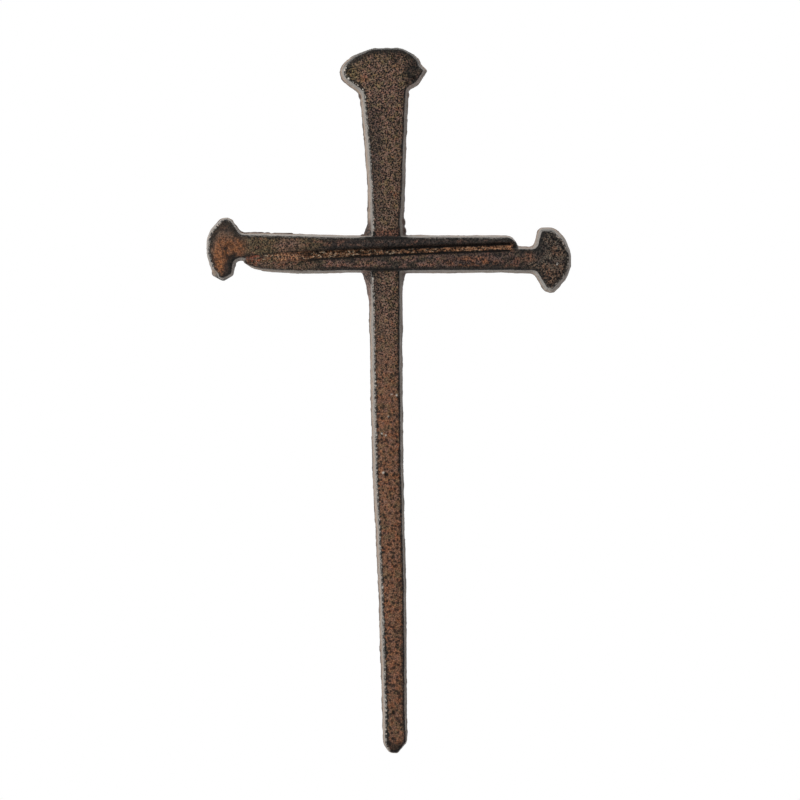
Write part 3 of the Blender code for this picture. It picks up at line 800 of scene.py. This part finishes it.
def paint(obj, solid):
    """Store the colour and the strength of the grain on the vertices."""
    mesh = obj.data
    skin = Skin(read_mesh(mesh)[0], solid)
    colour = np.ones((len(skin.p), 4))
    colour[:, :3] = np.clip(casting_colour(skin), 0.0, 1.0)
    layer = mesh.attributes.new("casting", "FLOAT_COLOR", "POINT")
    layer.data.foreach_set("color", colour.astype(np.float32).ravel())
    for name, values in (("grain", grain_share(skin)), ("dots", dot_reach(skin)), ("pits", pit_reach(skin))):
        layer = mesh.attributes.new(name, "FLOAT", "POINT")
        layer.data.foreach_set("value", values.astype(np.float32))


def map_range(nodes, low, high, start=0.0, end=1.0):
    """A node that maps the values from low to high onto those from start to end."""
    node = nodes.new("ShaderNodeMapRange")
    for name, value in (("From Min", low), ("From Max", high), ("To Min", start), ("To Max", end)):
        node.inputs[name].default_value = value
    return node


class Tree:
    """Short calls for building a material's nodes."""

    def __init__(self, name):
        self.material = bpy.data.materials.new(name)
        self.material.use_nodes = True
        self.nodes = self.material.node_tree.nodes
        self.links = self.material.node_tree.links
        self.shader = self.nodes["Principled BSDF"]

    def set(self, socket, value):
        if isinstance(value, bpy.types.NodeSocket):
            self.links.new(value, socket)
        elif isinstance(value, tuple) and len(value) == 3 and socket.type == "RGBA":
            socket.default_value = (*value, 1.0)
        else:
            socket.default_value = value

    def attribute(self, name, output):
        node = self.nodes.new("ShaderNodeAttribute")
        node.attribute_name = name
        return node.outputs[output]

    def texture(self, kind, size):
        """A texture node that is fixed to the object, with lumps or cells of about that size in metres."""
        node = self.nodes.new(kind)
        coordinates = self.nodes.new("ShaderNodeTexCoord")
        self.links.new(coordinates.outputs["Object"], node.inputs["Vector"])
        node.inputs["Scale"].default_value = 1.0 / size
        return node

    def noise(self, size, detail=2.0, rough=0.5):
        node = self.texture("ShaderNodeTexNoise", size)
        node.inputs["Detail"].default_value = detail
        node.inputs["Roughness"].default_value = rough
        return node.outputs["Fac"]

    def scattered(self, size):
        """Distance to the nearest of the points scattered one to a cell of that size, in cells."""
        return self.texture("ShaderNodeTexVoronoi", size).outputs["Distance"]

    def mix(self, share, first, second, kind="MIX"):
        node = self.nodes.new("ShaderNodeMix")
        node.data_type = "RGBA"
        node.blend_type = kind
        self.set(node.inputs["Factor"], share)
        self.set(node.inputs["A"], first)
        self.set(node.inputs["B"], second)
        return node.outputs["Result"]

    def ramp(self, value, low, high, start=0.0, end=1.0):
        node = map_range(self.nodes, low, high, start, end)
        node.interpolation_type = "SMOOTHSTEP"
        self.set(node.inputs["Value"], value)
        return node.outputs["Result"]

    def math(self, kind, first, second):
        node = self.nodes.new("ShaderNodeMath")
        node.operation = kind
        self.set(node.inputs[0], first)
        self.set(node.inputs[1], second)
        return node.outputs["Value"]

    def bump(self, height, distance, strength):
        node = self.nodes.new("ShaderNodeBump")
        node.inputs["Distance"].default_value = distance
        node.inputs["Strength"].default_value = strength
        self.set(node.inputs["Height"], height)
        return node.outputs["Normal"]


def rubbed_iron():
    """The painted colour, broken up by a grain of dark hollows and light rubbed tops."""
    tree = Tree("rubbed_cast_iron")
    colour = tree.attribute("casting", "Color")
    grain = tree.noise(GRAIN_LUMP, 2.0, 0.6)
    flecks = tree.noise(FLECK_LUMP, 1.0)
    tops = tree.ramp(grain, 0.38, 0.64, 0.35, 2.1)
    dots = tree.math("SUBTRACT", tree.scattered(DOT_CELL), tree.attribute("dots", "Fac"))
    pits = tree.math("ADD", tree.scattered(PIT_CELL), tree.math("MULTIPLY", flecks, 0.5))
    pits = tree.math("SUBTRACT", pits, tree.attribute("pits", "Fac"))
    hollows = tree.math("MINIMUM", tree.ramp(dots, 0.0, 0.14, HOLLOW_SHADE, 1.0),
                        tree.ramp(pits, 0.0, 0.09, HOLLOW_SHADE, 1.0))
    relief = tree.math("MULTIPLY", tops, hollows)
    tint = tree.mix(tree.ramp(flecks, 0.35, 0.65), GRAIN_WARM, GRAIN_COOL)
    grained = tree.mix(1.0, tree.mix(1.0, colour, tint, "MULTIPLY"), relief, "MULTIPLY")
    tree.set(tree.shader.inputs["Base Color"], tree.mix(tree.attribute("grain", "Fac"), colour, grained))
    tree.set(tree.shader.inputs["Roughness"], tree.ramp(grain, 0.3, 0.7, 0.62, 0.42))
    tree.shader.inputs["Specular IOR Level"].default_value = 0.2
    tree.set(tree.shader.inputs["Normal"], tree.bump(relief, BUMP_HEIGHT, BUMP_STRENGTH))
    return tree.material


def studio_world():
    """White behind the cross, softly lit from the upper left and dimmer to the lower right."""
    world = bpy.data.worlds.new("studio")
    world.use_nodes = True
    nodes = world.node_tree.nodes
    links = world.node_tree.links
    background = nodes["Background"]
    background.inputs["Color"].default_value = (1.0, 1.0, 1.0, 1.0)
    coordinates = nodes.new("ShaderNodeTexCoord")
    toward = nodes.new("ShaderNodeVectorMath")
    toward.operation = "DOT_PRODUCT"
    toward.inputs[1].default_value = SKY_BRIGHT_SIDE
    links.new(coordinates.outputs["Generated"], toward.inputs[0])
    lit = map_range(nodes, -SKY_REACH, SKY_REACH, *SKY_LEVELS)
    links.new(toward.outputs["Value"], lit.inputs["Value"])
    split = nodes.new("ShaderNodeSeparateXYZ")
    links.new(coordinates.outputs["Generated"], split.inputs["Vector"])
    behind = map_range(nodes, *WHITE_BEHIND)
    links.new(split.outputs["Y"], behind.inputs["Value"])
    level = nodes.new("ShaderNodeMix")
    links.new(behind.outputs["Result"], level.inputs["Factor"])
    links.new(lit.outputs["Result"], level.inputs["A"])
    level.inputs["B"].default_value = 1.0
    links.new(level.outputs["Result"], background.inputs["Strength"])
    bpy.context.scene.world = world


def look(direction):
    """Euler turn that points an object's -Z along the direction, with +Y up."""
    return Vector(direction).to_track_quat("-Z", "Y").to_euler()


def add_light(name, place, target, size, power):
    data = bpy.data.lights.new(name, "AREA")
    data.shape = "DISK"
    data.size = size
    data.energy = power
    light = bpy.data.objects.new(name, data)
    bpy.context.scene.collection.objects.link(light)
    light.location = place
    light.rotation_euler = look(np.array(target) - np.array(place))


def add_floor():
    bpy.ops.mesh.primitive_circle_add(vertices=96, radius=FLOOR_RADIUS, fill_type="TRIFAN",
                                      location=(0, 0, FLOOR_HEIGHT))
    floor = bpy.context.object
    floor.name = "studio_floor"
    material = bpy.data.materials.new("pale_floor")
    material.use_nodes = True
    shader = material.node_tree.nodes["Principled BSDF"]
    shader.inputs["Base Color"].default_value = FLOOR_COLOUR
    shader.inputs["Roughness"].default_value = FLOOR_ROUGHNESS
    floor.data.materials.append(material)


def add_camera():
    data = bpy.data.cameras.new("camera")
    data.sensor_width = SENSOR
    data.lens = SENSOR * PIXELS_PER_METRE * CAMERA_DISTANCE / FRAME_PIXELS
    camera = bpy.data.objects.new("camera", data)
    bpy.context.scene.collection.objects.link(camera)
    middle = FRAME_PIXELS / 2
    camera.location = ((middle - CROSSING_PIXEL[0]) / PIXELS_PER_METRE, -CAMERA_DISTANCE,
                       (CROSSING_PIXEL[1] - middle) / PIXELS_PER_METRE)
    camera.rotation_euler = (math.pi / 2, 0.0, 0.0)
    bpy.context.scene.camera = camera


add_camera()
studio_world()
add_light("key", KEY_PLACE, KEY_TARGET, KEY_SIZE, KEY_WATTS)
add_floor()
solid = solid_mesh()
cross = fine_copy("nail_cross_casting")
sculpt(cross, solid)
paint(cross, solid)
cross.data.materials.clear()
cross.data.materials.append(rubbed_iron())
cross.data.shade_smooth()
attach(cross, "root")
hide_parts(NODE)
bpy.context.scene.view_settings.view_transform = "Standard"
